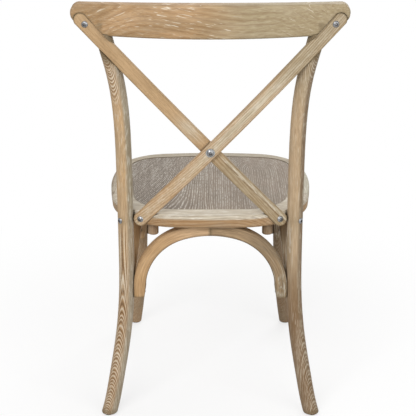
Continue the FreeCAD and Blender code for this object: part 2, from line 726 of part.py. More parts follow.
def make_back_fasteners(chair):
    """Screws at the slat ends, and the bolt, washer and cap nut at the crossing."""
    half = SLAT_THICKNESS / 2
    for outer, name in ((True, "cross_slat_outer"), (False, "cross_slat_inner")):
        for share, group, depth, held in (
                (0, "slat_foot_screws", SLAT_SCREW_IN_WOOD, "seat_rail_rear"),
                (1, "slat_top_screws", SLAT_SCREW_IN_CREST, "crest_rail")):
            centre, along, wide, outward = slat_frame(outer, share)
            seat = centre + outward * (half + HOLE_GAP)
            length = SLAT_THICKNESS + depth
            solid = screw(SLAT_SCREW_HEAD_RADIUS, SLAT_SCREW_HEAD_HEIGHT, SLAT_SCREW_RADIUS,
                          length)
            chair.add(group, aim(solid, seat, outward))
            chair.drill(screw_hole(seat, outward, SLAT_SCREW_RADIUS, length), name, held)
    centre, along, wide, outward = slat_frame(True, cross_share())
    washer_under = centre + outward * (half + HOLE_GAP)
    washer_seat = washer_under + outward * WASHER_THICKNESS
    inner_centre = slat_frame(False, cross_share())[0]
    nut_seat = centre + outward * ((inner_centre - centre).dot(outward) - half - HOLE_GAP)
    length = (washer_seat - nut_seat).Length
    hole = screw_hole(washer_seat, outward, CROSS_BOLT_RADIUS, length)
    washer = rod(WASHER_RADIUS, washer_under, washer_seat)
    chair.add("cross_washer", washer.cut(hole))
    chair.drill(hole, "cross_slat_outer", "cross_slat_inner")
    dome = CAP_NUT_HEIGHT - CAP_NUT_RADIUS
    bolt_end = nut_seat - outward * (dome + CAP_NUT_RADIUS / 2)
    shank = rod(CROSS_BOLT_RADIUS, washer_seat, bolt_end)
    head = button_head(CROSS_HEAD_RADIUS, CROSS_HEAD_HEIGHT, HEX_KEY_RADIUS)
    chair.add("cross_bolt", aim(head, washer_seat, outward).fuse(shank))
    cap = Part.makeSphere(CAP_NUT_RADIUS, V(0, 0, dome)).cut(half_space(Z_AXIS, dome, False))
    nut = Part.makeCylinder(CAP_NUT_RADIUS, dome).fuse(cap)
    nut = aim(nut, nut_seat, outward * -1)
    bore = rod(CROSS_BOLT_RADIUS + HOLE_GAP, washer_seat, bolt_end - outward * FIT_GAP)
    chair.add("cross_cap_nut", nut.cut(bore))


def make_leg_bolts(chair):
    """A bolt through each rear leg into the seat's rear corner, with its barrel nut."""
    post = rear_leg_point(LEG_BOLT_Z)
    corner = rear_corner_centre()
    outward = V(post.x - corner.x, post.y - corner.y, 0).normalize()
    seat = post + outward * (REAR_LEG_RADIUS - FIT_GAP)
    length = 2 * REAR_LEG_RADIUS + LEG_BOLT_REACH
    head = button_head(LEG_BOLT_HEAD_RADIUS, LEG_BOLT_HEAD_HEIGHT, HEX_KEY_RADIUS)
    shank = rod(LEG_BOLT_RADIUS, seat, seat - outward * length)
    bolt = aim(head, seat, outward).fuse(shank)
    chair.both("rear_leg_bolts", bolt)
    recess = rod(LEG_BOLT_HEAD_RADIUS + HOLE_GAP, seat, seat + outward * REAR_LEG_RADIUS)
    hole = screw_hole(seat, outward, LEG_BOLT_RADIUS, length)
    for tool in (recess, hole):
        chair.drill(tool, "rear_leg_left")
        chair.drill(mirrored(tool), "rear_leg_right")
    chair.drill(hole, "seat_rail_rear")
    chair.drill(mirrored(hole), "seat_rail_rear")
    nut_at = post - outward * (REAR_LEG_RADIUS + BARREL_NUT_INSET)
    base = V(nut_at.x, nut_at.y, SEAT_BOTTOM_Z + END_GAP)
    nut = rod(BARREL_NUT_RADIUS, base, base + Z_AXIS * BARREL_NUT_LENGTH)
    chair.both("barrel_nuts", nut.cut(hole))
    pocket = rod(BARREL_NUT_RADIUS + HOLE_GAP, base - Z_AXIS * 2 * END_GAP,
                 base + Z_AXIS * (BARREL_NUT_LENGTH + FIT_GAP))
    chair.drill(pocket, "seat_rail_rear")
    chair.drill(mirrored(pocket), "seat_rail_rear")


def turned(shape, lean, angle, shift):
    """Lean a half arch over from its foot, turn it about the vertical and move it."""
    placed = shape.copy()
    placed.rotate(V(0, 0, ARCH_END_Z), X_AXIS, lean)
    placed.rotate(V(0, 0, 0), Z_AXIS, angle)
    placed.translate(shift)
    return placed


def make_arches(chair):
    """The four arches under the seat, two halves each, with their screws.

    The side arches stand on the line between the legs and lean in to the seat rails.
    """
    rear = rear_leg_point(ARCH_LEG_SCREW_Z)
    front = front_leg_point(ARCH_LEG_SCREW_Z)
    front_radius = front_leg_radius(ARCH_LEG_SCREW_Z)
    line = V(rear.x - front.x, rear.y - front.y, 0)
    to_rear = math.degrees(math.atan2(line.y, line.x))
    side_span = (line.Length - REAR_LEG_RADIUS - front_radius) / 2
    side = V(front.x, front.y, 0) + line * ((front_radius + side_span) / line.Length)
    posts = round_bar(rear_leg_point, ARCH_END_Z / 2, SEAT_BOTTOM_Z,
                      lambda z: REAR_LEG_RADIUS + FIT_GAP)
    fronts = round_bar(front_leg_point, ARCH_END_Z / 2, SEAT_BOTTOM_Z,
                       lambda z: front_leg_radius(z) + FIT_GAP)
    lean = SIDE_ARCH_LEAN_DEG
    places = (
        ("rear_arch", rear.x - REAR_LEG_RADIUS, 0, 0, V(0, REAR_ARCH_Y, 0), posts, "rear_leg",
         "seat_rail_rear"),
        ("front_arch", front.x - front_radius, 0, 0, V(0, FRONT_ARCH_Y, 0), fronts, "front_leg",
         "seat_rail_front"),
        ("side_arch_rear", side_span, -lean, to_rear, side, posts, "rear_leg", "seat_rail"),
        ("side_arch_front", side_span, lean, to_rear - 180, side, fronts, "front_leg",
         "seat_rail"),
    )
    for name, span, tip, angle, shift, leg_tool, leg_name, rail in places:
        reach = span + 2 * FIT_GAP + ARCH_LET_UP
        tip_angle = math.radians(tip)
        drop = SEAT_BOTTOM_Z - ARCH_END_Z
        let_up = (drop + ARCH_DEPTH / 2 * abs(math.sin(tip_angle))) / math.cos(tip_angle) - drop
        arch = turned(half_arch(reach, let_up + ARCH_LET_UP), tip, angle, shift)
        chair.pair(name, arch.cut(half_space(Z_AXIS, SEAT_BOTTOM_Z, True)).cut(leg_tool))

        def spot(along, z):
            """A point on the middle of the leaning band, at a reach and a height."""
            aside = -(z - ARCH_END_Z) * math.tan(tip_angle)
            return turned(Part.Vertex(along, aside, z), 0, angle, shift).Point

        screw_z = SIDE_ARCH_SCREW_Z if tip else ARCH_LEG_SCREW_Z
        across = (spot(1, screw_z) - spot(0, screw_z)).normalize()
        into_leg = screw_at(spot(reach - ARCH_WIDTH, screw_z), across * -1,
                            ARCH_WIDTH + ARCH_SCREW_IN_WOOD)
        crown_low = SEAT_BOTTOM_Z + ARCH_LET_UP - ARCH_WIDTH
        into_seat = screw_at(spot(ARCH_SEAT_SCREW_OFFSET, crown_low), Z_AXIS * -1,
                             POCKET_FLOOR_Z - 2 * END_GAP - crown_low)
        for group, (solid, hole), partner in (
                ("arch_leg_screws", into_leg, leg_name),
                ("arch_seat_screws", into_seat, rail)):
            chair.both(group, solid)
            one = partner if partner.startswith("seat_rail_") else partner + "_left"
            other = partner if partner.startswith("seat_rail_") else partner + "_right"
            chair.drill(hole, name + "_left", one)
            chair.drill(mirrored(hole), name + "_right", other)


def screw_at(face_point, outward, reach):
    """A screw that reaches so far behind a face, its head sunk, with the hole it needs."""
    seat = face_point - outward * (ARCH_SCREW_HEAD_HEIGHT + END_GAP)
    length = reach - ARCH_SCREW_HEAD_HEIGHT - END_GAP
    solid = screw(ARCH_SCREW_HEAD_RADIUS, ARCH_SCREW_HEAD_HEIGHT, ARCH_SCREW_RADIUS, length)
    hole = screw_hole(seat, outward, ARCH_SCREW_RADIUS, length)
    sink = rod(ARCH_SCREW_HEAD_RADIUS + HOLE_GAP, seat, seat + outward * ARCH_WIDTH)
    return aim(solid, seat, outward), hole.fuse(sink)


def make_pegs(chair):
    """Turned pegs under the seat's rear corners."""
    base = V(PEG_X, PEG_Y, SEAT_BOTTOM_Z)
    knob = rod(PEG_RADIUS, base, base - Z_AXIS * PEG_LENGTH)
    knob = knob.makeFillet(PEG_ROUND, edges_at_height(knob, SEAT_BOTTOM_Z - PEG_LENGTH))
    stem = rod(PEG_TENON_RADIUS, base - Z_AXIS * END_GAP, base + Z_AXIS * PEG_TENON_LENGTH)
    chair.both("stacking_pegs", knob.fuse(stem))
    hole = rod(PEG_TENON_RADIUS + HOLE_GAP, base - Z_AXIS * END_GAP,
               base + Z_AXIS * (PEG_TENON_LENGTH + END_GAP / 2))
    chair.drill(hole, "seat_rail_rear")
    chair.drill(mirrored(hole), "seat_rail_rear")


def stand_on_origin(chair):
    """Move every piece so that the origin is the centre of the chair's base."""
    box = FreeCAD.BoundBox()
    for solids in chair.pieces.values():
        for solid in solids:
            box.add(solid.optimalBoundingBox(False, False))
    shift = V(-(box.XMin + box.XMax) / 2, -(box.YMin + box.YMax) / 2, -box.ZMin)
    for solids in chair.pieces.values():
        for solid in solids:
            solid.translate(shift)
    return shift


def main():
    chair = Chair()
    make_legs(chair)
    make_seat(chair)
    make_back(chair)
    make_back_fasteners(chair)
    make_leg_bolts(chair)
    make_arches(chair)
    make_pegs(chair)
    shift = stand_on_origin(chair)
    os.makedirs("parts", exist_ok=True)
    for name, shapes in chair.pieces.items():
        solids = [solid for shape in shapes for solid in shape.Solids]
        shape = solids[0] if len(solids) == 1 else Part.makeCompound(solids)
        shape.exportStep("parts/" + name + ".step")
        print(name, len(solids), round(shape.Volume / 1000, 2), shape.isValid())
    print("moved by", shift)


main()
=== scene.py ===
import bpy
import math
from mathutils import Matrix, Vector

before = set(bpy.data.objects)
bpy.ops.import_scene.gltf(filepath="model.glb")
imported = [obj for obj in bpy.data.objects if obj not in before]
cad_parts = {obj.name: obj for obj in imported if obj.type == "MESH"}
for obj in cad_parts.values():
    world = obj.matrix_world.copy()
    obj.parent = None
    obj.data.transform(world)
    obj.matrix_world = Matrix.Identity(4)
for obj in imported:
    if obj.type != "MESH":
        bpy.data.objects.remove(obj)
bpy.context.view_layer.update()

# Camera, from the fit of the photograph: a view from behind, a little above the back
CAMERA_Y = 2.4070
CAMERA_Z = 1.2456
CAMERA_PITCH_DEG = 19.525
CAMERA_LENS_MM = 99.58
SENSOR_MM = 36.0
SHIFT_X = -0.0055
SHIFT_Y = 0.0007

# The chair's own lines in metres, as the solids are drawn, for the grain to follow
LEG_LINE_Y = 0.1712
REAR_LEG_X = 0.1745
REAR_LEG_Y = LEG_LINE_Y + 0.007
FOOT_BEND_Z = 0.335
FOOT_SPLAY = 0.045
FLARE_Z = 0.590
FLARE = 0.0275
CREST_LOW_Z = 0.8202
CREST_CURVE = 0.533
CROSS_Z = 0.588
SLAT_RISE = 0.7315
SLAT_RUN = 0.6818
SEAT_EDGE_LOW_Z = 0.4405
SEAT_EDGE_HIGH_Z = 0.4450
HAUNCH_RADIUS = 0.112
CROWN_ANGLE = math.radians(17.5)
HAUNCH_Z = 0.2828
SIDE_ARCH_MIDDLE_Y = LEG_LINE_Y - 0.1772


def rgb(red, green, blue):
    """A colour given as the eye sees it, 0 to 255, as the linear values that shaders take."""
    linear = []
    for level in (red, green, blue):
        share = level / 255
        linear.append(share / 12.92 if share <= 0.04045 else ((share + 0.055) / 1.055) ** 2.4)
    return (linear[0], linear[1], linear[2], 1.0)


class Nodes:
    """Short calls for building one material's node tree."""

    def __init__(self, name):
        self.material = bpy.data.materials.new(name)
        self.material.use_nodes = True
        self.tree = self.material.node_tree
        self.tree.nodes.clear()
        self.output = self.tree.nodes.new("ShaderNodeOutputMaterial")
        self.shader = self.tree.nodes.new("ShaderNodeBsdfPrincipled")
        self.tree.links.new(self.shader.outputs[0], self.output.inputs[0])
        self.place = self.tree.nodes.new("ShaderNodeTexCoord").outputs["Object"]

    def feed(self, socket, value):
        if isinstance(value, bpy.types.NodeSocket):
            self.tree.links.new(value, socket)
        else:
            socket.default_value = value

    def math(self, operation, *values, clamp=False):
        node = self.tree.nodes.new("ShaderNodeMath")
        node.operation = operation
        node.use_clamp = clamp
        for socket, value in zip(node.inputs, values):
            self.feed(socket, value)
        return node.outputs[0]

    def add(self, first, *rest):
        for value in rest:
            first = self.math("ADD", first, value)
        return first

    def times(self, first, *rest):
        for value in rest:
            first = self.math("MULTIPLY", first, value)
        return first

    def less(self, first, second):
        return self.math("SUBTRACT", first, second)

    def larger(self, first, *rest):
        for value in rest:
            first = self.math("MAXIMUM", first, value)
        return first

    def length(self, first, second):
        return self.math("SQRT", self.add(self.times(first, first), self.times(second, second)))

    def bell(self, value, centre, width):
        """One at the centre, falling away smoothly over the width on both sides."""
        off = self.math("DIVIDE", self.less(value, centre), width)
        return self.math("EXPONENT", self.times(self.times(off, off), -1.0))

    def dot(self, axis):
        """How far the point lies along a fixed direction."""
        node = self.tree.nodes.new("ShaderNodeVectorMath")
        node.operation = "DOT_PRODUCT"
        self.feed(node.inputs[0], self.place)
        node.inputs[1].default_value = tuple(axis)
        return node.outputs["Value"]

    def combine(self, x, y, z):
        node = self.tree.nodes.new("ShaderNodeCombineXYZ")
        for socket, value in zip(node.inputs, (x, y, z)):
            self.feed(socket, value)
        return node.outputs[0]

    def split(self):
        node = self.tree.nodes.new("ShaderNodeSeparateXYZ")
        self.feed(node.inputs[0], self.place)
        return node.outputs

    def noise(self, vector, scale=1.0, detail=2.0, roughness=0.5):
        node = self.tree.nodes.new("ShaderNodeTexNoise")
        self.feed(node.inputs["Vector"], vector)
        node.inputs["Scale"].default_value = scale
        node.inputs["Detail"].default_value = detail
        node.inputs["Roughness"].default_value = roughness
        return node.outputs["Fac"]

    def remap(self, value, low, high, to_low=0.0, to_high=1.0):
        node = self.tree.nodes.new("ShaderNodeMapRange")
        node.interpolation_type = "SMOOTHSTEP"
        self.feed(node.inputs["Value"], value)
        for name, level in (("From Min", low), ("From Max", high), ("To Min", to_low),
                            ("To Max", to_high)):
            self.feed(node.inputs[name], level)
        return node.outputs[0]

    def mix(self, share, first, second):
        node = self.tree.nodes.new("ShaderNodeMix")
        node.data_type = "RGBA"
        self.feed(node.inputs["Factor"], share)
        self.feed(node.inputs[6], first)
        self.feed(node.inputs[7], second)
        return node.outputs[2]

    def occlusion_shade(self, distance, start, end, inside=False):
        """Painted shade: one deep in a joint or a recess, or with inside set, close to an outer
        edge.
        """
        node = self.tree.nodes.new("ShaderNodeAmbientOcclusion")
        node.samples = 8
        node.inside = inside
        node.only_local = inside
        node.inputs["Distance"].default_value = distance
        return self.remap(node.outputs["AO"], start, end, 1.0, 0.0)

    def bump(self, height, distance, strength):
        node = self.tree.nodes.new("ShaderNodeBump")
        node.inputs["Strength"].default_value = strength
        node.inputs["Distance"].default_value = distance
        self.feed(node.inputs["Height"], height)
        return node.outputs[0]


class Grain:
    """A point on a piece as the wood sees it: along the fibres, across them and in depth."""

    def __init__(self, nodes, along, across, depth, seed):
        self.nodes = nodes
        self.along = along
        self.across = across
        self.depth = depth
        self.seed = seed

    def noise(self, length, width, detail=2.0, roughness=0.5, shift=0.0):
        """Noise drawn out along the fibres."""
        nodes = self.nodes
        parts = (nodes.math("DIVIDE", self.along, length),
                 nodes.math("DIVIDE", self.across, width),
                 nodes.math("DIVIDE", self.depth, width))
        shifted = [nodes.add(part, (self.seed + shift) * step)
                   for part, step in zip(parts, (7.31, 4.17, 2.93))]
        return nodes.noise(nodes.combine(*shifted), 1.0, detail, roughness)


def straight(along, across, origin=(0.0, 0.0, 0.0)):
    """Grain that runs straight through the piece, measured from a point on its axis."""
    along = Vector(along).normalized()
    depth = along.cross(Vector(across)).normalized()
    across = depth.cross(along).normalized()

    def place(nodes, seed):
        parts = [nodes.less(nodes.dot(axis), axis.dot(Vector(origin)))
                 for axis in (along, across, depth)]
        return Grain(nodes, *parts, seed)
    return place


def arched(run, crown_radius, middle):
    """Grain bent round a half arch: the length along it and the distance from its inner line."""
    crown_z = HAUNCH_Z - (crown_radius - HAUNCH_RADIUS) * math.cos(CROWN_ANGLE)
    haunch_x = (crown_radius - HAUNCH_RADIUS) * math.sin(CROWN_ANGLE)

    def place(nodes, seed):
        x, y, z = nodes.split()
        out = nodes.math("ABSOLUTE", nodes.less(x if run == "x" else y, middle))
        up = nodes.less(z, crown_z)
        turn = nodes.math("ARCTAN2", out, up)
        on_crown = nodes.math("LESS_THAN", turn, CROWN_ANGLE)
        crown_off = nodes.less(nodes.length(out, up), crown_radius)
        crown_run = nodes.times(turn, crown_radius)
        side = nodes.less(out, haunch_x)
        rise = nodes.larger(nodes.less(z, HAUNCH_Z), 0.0)
        drop = nodes.larger(nodes.less(HAUNCH_Z, z), 0.0)
        haunch_off = nodes.less(nodes.length(side, rise), HAUNCH_RADIUS)
        haunch_turn = nodes.less(nodes.math("ARCTAN2", side, rise), CROWN_ANGLE)
        haunch_run = nodes.add(nodes.times(haunch_turn, HAUNCH_RADIUS),
                               crown_radius * CROWN_ANGLE, drop)
        rest = nodes.less(1.0, on_crown)
        off = nodes.add(nodes.times(on_crown, crown_off), nodes.times(rest, haunch_off))
        gone = nodes.add(nodes.times(on_crown, crown_run), nodes.times(rest, haunch_run))
        return Grain(nodes, gone, off, y if run == "x" else x, seed)
    return place


# How long and how wide each feature of the grain is, in metres
RIPPLE_SIZE = (0.03, 0.008)
FIBRE_SIZE = (0.030, 0.0012)
PORE_SIZE = (0.014, 0.0022)
DRIFT_SIZE = (0.10, 0.03)
HAZE_SIZE = (0.12, 0.018)
STREAK_SIZE = (0.075, 0.0024)
PATCH_SIZE = (0.022, 0.005)
COARSE_SIZE = (0.05, 0.0042)
FLECK_SIZE = (0.022, 0.0020)
RIPPLE_SHARE = 0.12
RING_UNEVENNESS = 1.3
# Darkening in joints and recesses, partly dirt and partly painted shade: how far it reaches and
# how strong it is
JOINT_REACH = 0.007
JOINT_SHARE = 0.75
WOOD_SPECULAR = 0.22


def limed_wood(name, spec):
    """Oak with white grain: growth rings as sheets through the piece, fibres and pores along
    it, lime left in the open pores of the rings, and a drift between a warm and a grey tone."""
    nodes = Nodes(name)
    grain = spec["grain"](nodes, spec["seed"])
    sheet = spec["sheet"](nodes, grain)
    wave = nodes.less(grain.noise(spec["wave_length"], spec["wave_width"]), 0.5)
    ripple = nodes.less(grain.noise(*RIPPLE_SIZE, 1.0, 0.5, 3.0), 0.5)
    sheet = nodes.add(sheet, nodes.times(wave, spec["waviness"]),
                      nodes.times(ripple, spec["waviness"] * RIPPLE_SHARE))
    turns = nodes.math("DIVIDE", sheet, spec["ring_spacing"])
    uneven = nodes.noise(nodes.combine(turns, spec["seed"], 0.0), 0.6, 1.0, 0.5)
    phase = nodes.math("FRACT", nodes.add(turns, nodes.times(uneven, RING_UNEVENNESS)))
    off = nodes.times(nodes.math("ABSOLUTE", nodes.less(phase, 0.5)), 2.0)
    line = nodes.remap(off, 0.0, spec["line_width"], 1.0, 0.0)
    late = nodes.remap(off, 0.45, 1.0)

    fibre = grain.noise(*FIBRE_SIZE, 2.0, 0.6)
    pore = nodes.remap(grain.noise(*PORE_SIZE, 1.0, 0.5, 1.0), 0.38, 0.60)
    drift = nodes.remap(grain.noise(*DRIFT_SIZE, 2.0, 0.55, 2.0), 0.36, 0.64)
    haze = nodes.remap(grain.noise(*HAZE_SIZE, 3.0, 0.6, 4.0), 0.44, 0.68)
    streak = nodes.remap(grain.noise(*STREAK_SIZE, 2.0, 0.55, 5.0), 0.53, 0.70)

    body = nodes.mix(nodes.times(drift, spec["drift"]), spec["warm"], spec["cool"])
    patch = nodes.remap(grain.noise(*PATCH_SIZE, 2.0, 0.6, 6.0), 0.50, 0.66)
    for tone in spec["tones"]:
        mask, colour, pale = tone(nodes, grain)
        body = nodes.mix(mask, body, nodes.mix(nodes.times(patch, 0.7), colour, pale))
    coarse = nodes.remap(grain.noise(*COARSE_SIZE, 2.0, 0.6, 8.0), 0.38, 0.62)
    shown = spec["line_mask"](nodes, grain) if "line_mask" in spec else 1.0
    body = nodes.mix(nodes.times(late, spec["ring_depth"], shown), body, spec["dark"])
    body = nodes.mix(nodes.times(coarse, spec["coarse"]), body, spec["dark"])
    body = nodes.mix(nodes.times(nodes.remap(fibre, 0.42, 0.66), spec["fibre_depth"]), body,
                     spec["dark"])
    lime = nodes.times(line, nodes.remap(pore, 0.0, 1.0, spec["line_hold"], 1.0),
                       spec["line_lime"], nodes.remap(haze, 0.0, 1.0, 0.6, 1.0), shown)
    rubbed = nodes.times(streak, spec["streaks"])
    if "streak_mask" in spec:
        rubbed = nodes.times(rubbed, spec["streak_mask"](nodes, grain))
    lime = nodes.larger(lime, rubbed, nodes.times(haze, spec["haze"]))
    if "flecks" in spec:
        spot = nodes.combine(nodes.math("DIVIDE", grain.along, FLECK_SIZE[0]),
                             nodes.math("DIVIDE", sheet, FLECK_SIZE[1]), spec["seed"])
        fleck = nodes.remap(nodes.noise(spot, 1.0, 1.0, 0.4), 0.66, 0.73)
        lime = nodes.larger(lime, nodes.times(fleck, spec["flecks"](nodes, grain)))
    colour = nodes.mix(nodes.math("MINIMUM", lime, 0.92), body, spec["lime"])
    # Painted shade: darker deep in joints and recesses, where dirt gathers too, and darker close
    # to the outer edges
    joint = nodes.times(nodes.occlusion_shade(JOINT_REACH, 0.30, 0.85), JOINT_SHARE)
    edge = nodes.times(nodes.occlusion_shade(spec["edge_reach"], 0.45, 0.95, inside=True), spec["edge"])
    colour = nodes.mix(edge, colour, EDGE)
    nodes.feed(nodes.shader.inputs["Base Color"], nodes.mix(joint, colour, CREVICE_SHADE_AND_DIRT))

    nodes.feed(nodes.shader.inputs["Roughness"], nodes.remap(fibre, 0.3, 0.7, 0.52, 0.68))
    nodes.shader.inputs["Specular IOR Level"].default_value = WOOD_SPECULAR
    relief = nodes.less(nodes.times(fibre, 0.5), nodes.times(line, pore, 0.5))
    nodes.feed(nodes.shader.inputs["Normal"], nodes.bump(relief, 0.0004, 0.5))
    return nodes.material


def metal(name, colour, rough):
    """Plated steel with a faint turned finish, dulled patches and painted shade in its recesses.
    """
    nodes = Nodes(name)
    dull = nodes.noise(nodes.place, 260.0, 3.0, 0.6)
    marks = nodes.noise(nodes.place, 1900.0, 2.0, 0.6)
    darker = tuple(level * 0.6 for level in colour[:3]) + (1.0,)
    tone = nodes.mix(nodes.remap(dull, 0.35, 0.7), colour, darker)
    # Painted shade deep in the key recess of each head
    recess = nodes.occlusion_shade(0.003, 0.45, 0.95)
    nodes.feed(nodes.shader.inputs["Base Color"], nodes.mix(recess, tone, CREVICE_SHADE_AND_DIRT))
    nodes.shader.inputs["Metallic"].default_value = 1.0
    nodes.feed(nodes.shader.inputs["Roughness"], nodes.remap(dull, 0.3, 0.7, rough, rough + 0.2))
    nodes.feed(nodes.shader.inputs["Normal"], nodes.bump(marks, 0.00008, 0.4))
    return nodes.material


def plastic(name, colour):
    """Moulded nylon with a fine grain and scuffs."""
    nodes = Nodes(name)
    scuff = nodes.noise(nodes.place, 420.0, 4.0, 0.65)
    lighter = tuple(min(1.0, level * 1.7 + 0.02) for level in colour[:3]) + (1.0,)
    nodes.feed(nodes.shader.inputs["Base Color"],
               nodes.mix(nodes.remap(scuff, 0.5, 0.75), colour, lighter))
    nodes.feed(nodes.shader.inputs["Roughness"], nodes.remap(scuff, 0.3, 0.7, 0.42, 0.65))
    grain = nodes.noise(nodes.place, 2600.0, 1.0, 0.5)
    nodes.feed(nodes.shader.inputs["Normal"], nodes.bump(grain, 0.0001, 0.3))
    return nodes.material


TAN = rgb(192, 155, 112)
OLIVE = rgb(174, 150, 112)
BROWN = rgb(112, 82, 52)
LIME = rgb(230, 220, 200)
# Colours of the painted shade: in joints and recesses, where dirt gathers too, and along the
# outer edges
CREVICE_SHADE_AND_DIRT = rgb(66, 56, 44)
EDGE = rgb(112, 96, 70)

# The edge entries set how strong and how far reaching the painted shade along the outer edges is
BASE = {
    "seed": 1.0, "warm": TAN, "cool": OLIVE, "dark": BROWN, "lime": LIME, "drift": 1.0,
    "ring_spacing": 0.0035, "waviness": 0.006, "wave_length": 0.20, "wave_width": 0.05,
    "ring_depth": 0.30, "fibre_depth": 0.30, "line_width": 0.45, "line_lime": 0.45,
    "line_hold": 0.5, "streaks": 0.30, "haze": 0.10, "coarse": 0.18, "tones": (), "edge": 0.45,
    "edge_reach": 0.0045,
}


def wood(name, **changes):
    return limed_wood(name, {**BASE, **changes})


def dress(names, material):
    for name in names:
        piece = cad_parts[name]
        piece.data.materials.clear()
        piece.data.materials.append(material)


def smooth_group():
    """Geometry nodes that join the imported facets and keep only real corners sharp."""
    group = bpy.data.node_groups.new("joined_surface", "GeometryNodeTree")
    group.interface.new_socket("Geometry", in_out="INPUT", socket_type="NodeSocketGeometry")
    group.interface.new_socket("Geometry", in_out="OUTPUT", socket_type="NodeSocketGeometry")
    enter = group.nodes.new("NodeGroupInput")
    leave = group.nodes.new("NodeGroupOutput")
    weld = group.nodes.new("GeometryNodeMergeByDistance")
    weld.inputs["Distance"].default_value = 0.000004
    angle = group.nodes.new("GeometryNodeInputMeshEdgeAngle")
    sharp = group.nodes.new("FunctionNodeCompare")
    sharp.data_type = "FLOAT"
    sharp.operation = "GREATER_THAN"
    sharp.inputs[1].default_value = math.radians(32)
    faces = group.nodes.new("GeometryNodeSetShadeSmooth")
    edges = group.nodes.new("GeometryNodeSetShadeSmooth")
    edges.domain = "EDGE"
    edges.inputs["Shade Smooth"].default_value = False
    group.links.new(enter.outputs[0], weld.inputs["Geometry"])
    group.links.new(weld.outputs[0], faces.inputs["Geometry"])
    group.links.new(faces.outputs[0], edges.inputs["Geometry"])
    group.links.new(angle.outputs["Unsigned Angle"], sharp.inputs[0])
    group.links.new(sharp.outputs[0], edges.inputs["Selection"])
    group.links.new(edges.outputs[0], leave.inputs[0])
    return group


joined = smooth_group()
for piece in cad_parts.values():
    modifier = piece.modifiers.new("joined_surface", "NODES")
    modifier.node_group = joined


# Crest rail: flat-sawn lines that rise over a knot on one side and fall away at the other end,
# where they grow faint between a few white flecks
KNOT_X = 0.13
KNOT_RISE = 0.045
KNOT_OUTER_WIDTH = 0.085
KNOT_INNER_WIDTH = 0.15
DIP_X = -0.123
DIP_WIDTH = 0.05
DIP_DEPTH = 0.012
FALL_FROM_X = -0.12
FALL_RATE = 4.0


def crest_sheet(nodes, grain):
    x, y, z = nodes.split()
    outer = nodes.times(nodes.bell(nodes.larger(x, KNOT_X), KNOT_X, KNOT_OUTER_WIDTH), KNOT_RISE)
    inner = nodes.bell(nodes.math("MINIMUM", x, KNOT_X), KNOT_X, KNOT_INNER_WIDTH)
    hill = nodes.times(outer, inner)
    dip = nodes.times(nodes.bell(x, DIP_X, DIP_WIDTH), DIP_DEPTH)
    beyond = nodes.larger(nodes.less(FALL_FROM_X, x), 0.0)
    fall = nodes.times(beyond, beyond, FALL_RATE)
    behind = nodes.add(y, nodes.times(x, x, CREST_CURVE))
    return nodes.add(nodes.less(z, hill), nodes.times(dip, -1.0), fall,
                     nodes.times(behind, 0.5))


def crest_flecks(nodes, grain):
    x = nodes.split()[0]
    right_end = nodes.remap(x, -0.06, -0.03)
    far_end = nodes.remap(x, -0.11, -0.16, 0.0, 0.40)
    return nodes.add(nodes.times(right_end, nodes.remap(x, 0.10, 0.14, 1.0, 0.6), 0.70), 0.15,
                     far_end)


def crest_lines(nodes, grain):
    return nodes.remap(nodes.split()[0], -0.08, -0.15, 1.0, 0.50)


# Painted shade: the rail's -x end turns olive-grey and a little darker where the curved face
# turns from the light
def crest_shaded_end(nodes, grain):
    x = nodes.split()[0]
    return nodes.remap(x, 0.05, -0.09), rgb(168, 152, 120), rgb(182, 168, 137)


dress(["crest_rail"], wood(
    "crest_oak", grain=straight((1, 0, 0), (0, 0, 1)), seed=1.7, sheet=crest_sheet,
    warm=rgb(188, 153, 113), cool=rgb(168, 137, 99), tones=(crest_shaded_end,),
    ring_spacing=0.0120, waviness=0.014, wave_length=0.16, ring_depth=0.26, fibre_depth=0.30,
    coarse=0.12, line_lime=0.16, streaks=0.16, haze=0.08, flecks=crest_flecks,
    line_mask=crest_lines, edge=0.6, edge_reach=0.0055))


# Slats: q runs across each slat from its axis, and the crossing is the origin
def slat_sheet(nodes, grain):
    return nodes.add(grain.across, nodes.times(grain.depth, 0.6))


def outer_slat_middle(nodes, grain):
    middle = nodes.bell(grain.across, 0.001, 0.008)
    return nodes.times(middle, nodes.remap(grain.along, -0.12, 0.03, 0.75, 1.0),
                       nodes.remap(grain.along, 0.15, 0.24, 1.0, 0.40))


def outer_slat_tone(nodes, grain):
    inside = nodes.bell(grain.across, 0.0, 0.010)
    return (nodes.times(inside, nodes.remap(grain.along, -0.15, 0.12, 0.40, 1.0)),
            rgb(200, 187, 160), rgb(223, 213, 194))


def outer_slat_olive_end(nodes, grain):
    return (nodes.times(nodes.remap(grain.along, 0.15, 0.25), 0.85), rgb(158, 141, 111),
            rgb(180, 167, 140))


dress(["cross_slat_outer"], wood(
    "slat_oak_outer", grain=straight((-SLAT_RUN, 0.0, SLAT_RISE), (SLAT_RISE, 0.0, SLAT_RUN),
                                     (0.0, 0.0, CROSS_Z)),
    seed=4.1, sheet=slat_sheet, warm=rgb(196, 158, 116), cool=rgb(186, 152, 112),
    tones=(outer_slat_tone, outer_slat_olive_end), ring_spacing=0.0046, waviness=0.005,
    line_lime=0.50, ring_depth=0.26, coarse=0.10, edge=0.8, streaks=0.75,
    streak_mask=outer_slat_middle, haze=0.10))


def inner_slat_lines(nodes, grain):
    below = nodes.remap(grain.along, -0.01, -0.05)
    upper_side = nodes.bell(grain.across, 0.007, 0.004)
    patch = nodes.times(nodes.bell(grain.along, 0.055, 0.030), 0.6)
    return nodes.larger(nodes.times(below, upper_side), patch)


def inner_slat_low(nodes, grain):
    return nodes.remap(grain.along, 0.02, -0.04, 0.30, 1.0)


def inner_slat_tone(nodes, grain):
    return nodes.remap(grain.along, 0.02, -0.06), rgb(166, 147, 116), rgb(184, 168, 140)


